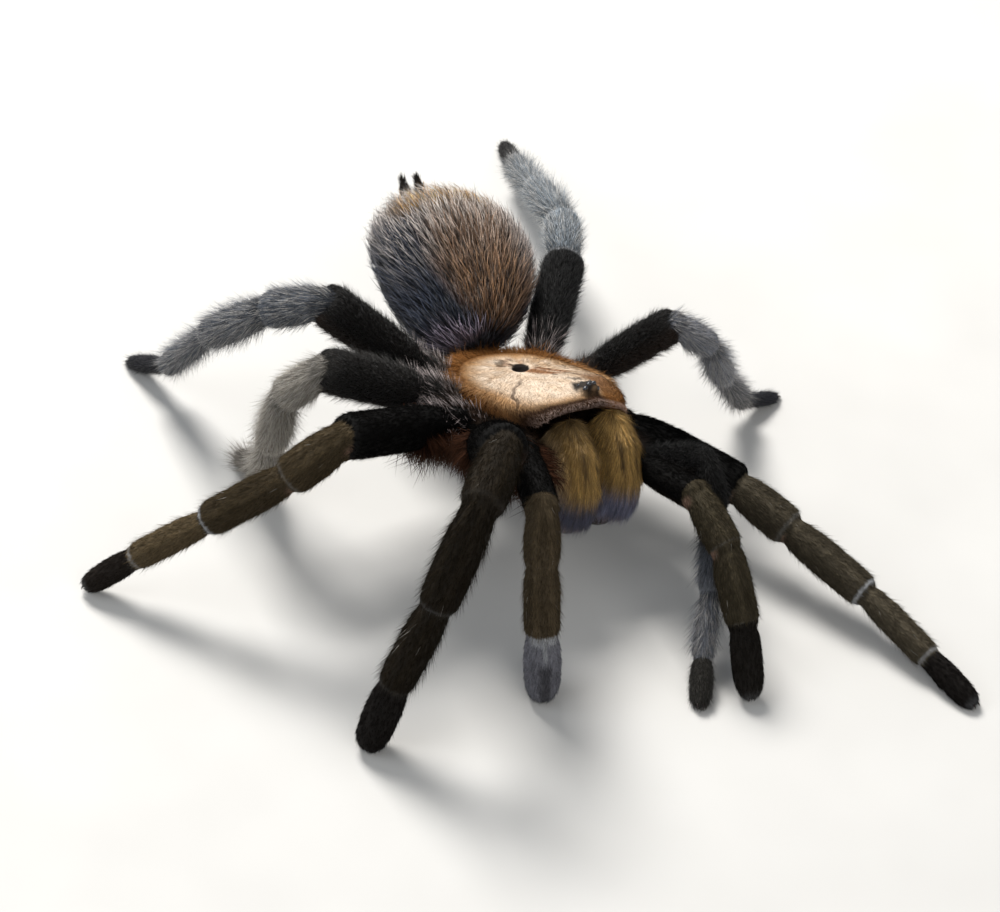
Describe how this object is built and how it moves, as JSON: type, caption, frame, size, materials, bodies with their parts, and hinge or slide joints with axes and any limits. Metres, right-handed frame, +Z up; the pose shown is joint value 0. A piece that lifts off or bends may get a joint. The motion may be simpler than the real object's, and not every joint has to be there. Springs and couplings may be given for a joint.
{
  "type": "tarantula",
  "caption": "Life-size brown tarantula standing still, with furry legs and abdomen, a pale domed carapace and dark feet.",
  "frame": {"origin": "on the floor, under the middle of the bounding box of the stance", "axes": "+Z is up from the floor; +Y runs along the longest side of the stance, roughly from the head end to the tail end; the head points between +X and -Y"},
  "size_m": [0.0902, 0.0952, 0.0302],
  "materials": {
    "carapace_hair": "short flat silky hair, pale tan with orange-brown borders",
    "eyes": "black, wet gloss",
    "jaw_hair": "golden olive-brown hair, navy-black at the lower ends",
    "fang_horn": "polished dark horn",
    "abdomen_hair": "dark brown skin under long grey-mauve and copper hairs",
    "spinneret_skin": "black, with fine hair",
    "underside_hair": "dark brown velvet with paler long hairs",
    "black_hair": "black velvet",
    "brown_hair": "dark olive-brown hair with bare stripes",
    "grey_hair": "long soft blue-grey hair over dark skin"
  },
  "bodies": {
    "root": {"carapace": "carapace_hair", "eye_mound": "eyes", "chelicera_right": "jaw_hair", "chelicera_left": "jaw_hair", "fang_right": "fang_horn", "fang_left": "fang_horn", "leg_right_1_femur": "black_hair", "leg_right_1_patella": "brown_hair", "leg_right_1_tibia": "brown_hair", "leg_right_1_metatarsus": "brown_hair", "leg_right_1_tarsus": "black_hair", "leg_right_2_femur": "black_hair", "leg_right_2_patella": "brown_hair", "leg_right_2_tibia": "brown_hair", "leg_right_2_metatarsus": "brown_hair", "leg_right_2_tarsus": "black_hair", "leg_right_3_femur": "black_hair", "leg_right_3_patella": "grey_hair", "leg_right_3_tibia": "grey_hair", "leg_right_3_metatarsus": "grey_hair", "leg_right_3_tarsus": "black_hair", "leg_right_4_femur": "black_hair", "leg_right_4_patella": "grey_hair", "leg_right_4_tibia": "grey_hair", "leg_right_4_metatarsus": "grey_hair", "leg_right_4_tarsus": "black_hair", "leg_left_1_femur": "black_hair", "leg_left_1_patella": "grey_hair", "leg_left_1_tibia": "grey_hair", "leg_left_1_metatarsus": "grey_hair", "leg_left_1_tarsus": "black_hair", "leg_left_2_femur": "black_hair", "leg_left_2_patella": "brown_hair", "leg_left_2_tibia": "brown_hair", "leg_left_2_metatarsus": "brown_hair", "leg_left_2_tarsus": "black_hair", "leg_left_3_femur": "black_hair", "leg_left_3_patella": "grey_hair", "leg_left_3_tibia": "grey_hair", "leg_left_3_metatarsus": "grey_hair", "leg_left_3_tarsus": "black_hair", "leg_left_4_femur": "black_hair", "leg_left_4_patella": "grey_hair", "leg_left_4_tibia": "grey_hair", "leg_left_4_metatarsus": "grey_hair", "leg_left_4_tarsus": "black_hair", "palp_right_femur": "black_hair", "palp_right_patella": "brown_hair", "palp_right_tibia": "brown_hair", "palp_right_tarsus": "black_hair", "palp_left_femur": "black_hair", "palp_left_patella": "brown_hair", "palp_left_tibia": "brown_hair", "palp_left_tarsus": "black_hair", "abdomen": "abdomen_hair", "spinneret_right": "spinneret_skin", "spinneret_left": "spinneret_skin", "sternum": "underside_hair", "hips": "underside_hair"}
  },
  "joints": []
}
